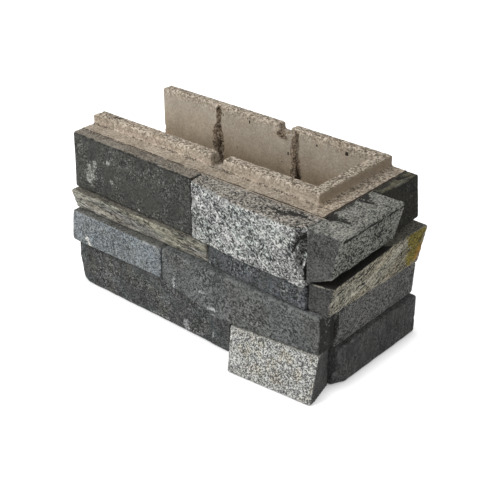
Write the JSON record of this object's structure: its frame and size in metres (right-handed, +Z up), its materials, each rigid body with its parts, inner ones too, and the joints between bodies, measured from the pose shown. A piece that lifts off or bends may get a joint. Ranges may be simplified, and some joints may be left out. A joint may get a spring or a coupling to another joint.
{
  "type": "stone-faced corner block",
  "caption": "Hollow concrete corner block faced on its long side and one end with coursed split limestone and granite strips that interlock at the corner.",
  "frame": {"origin": "middle of the footprint of the whole block, on the floor it stands on", "axes": "+X along the long stone face towards the stone-clad end, +Y from the stone face to the plain back, +Z up"},
  "size_m": [0.4104, 0.207, 0.213],
  "materials": {
    "concrete": "fine sandy cast concrete, matte",
    "dark_limestone": "split dark limestone, matte",
    "grey_limestone": "split mid grey limestone, matte",
    "blue_limestone": "split blue grey limestone, matte",
    "tan_limestone": "split streaky tan limestone, matte",
    "granite": "split light speckled granite, matte"
  },
  "bodies": {
    "root": {"concrete_core": "concrete", "front_top_left_stone": "dark_limestone", "front_top_right_stone": "granite", "front_third_left_stone": "tan_limestone", "front_third_right_stone": "dark_limestone", "front_second_left_stone": "blue_limestone", "front_second_right_stone": "grey_limestone", "front_bottom_left_stone": "dark_limestone", "front_bottom_right_stone": "granite", "end_top_front_stone": "grey_limestone", "end_top_back_stone": "dark_limestone", "end_third_stone": "tan_limestone", "end_second_stone": "grey_limestone", "end_bottom_stone": "dark_limestone"}
  },
  "joints": []
}
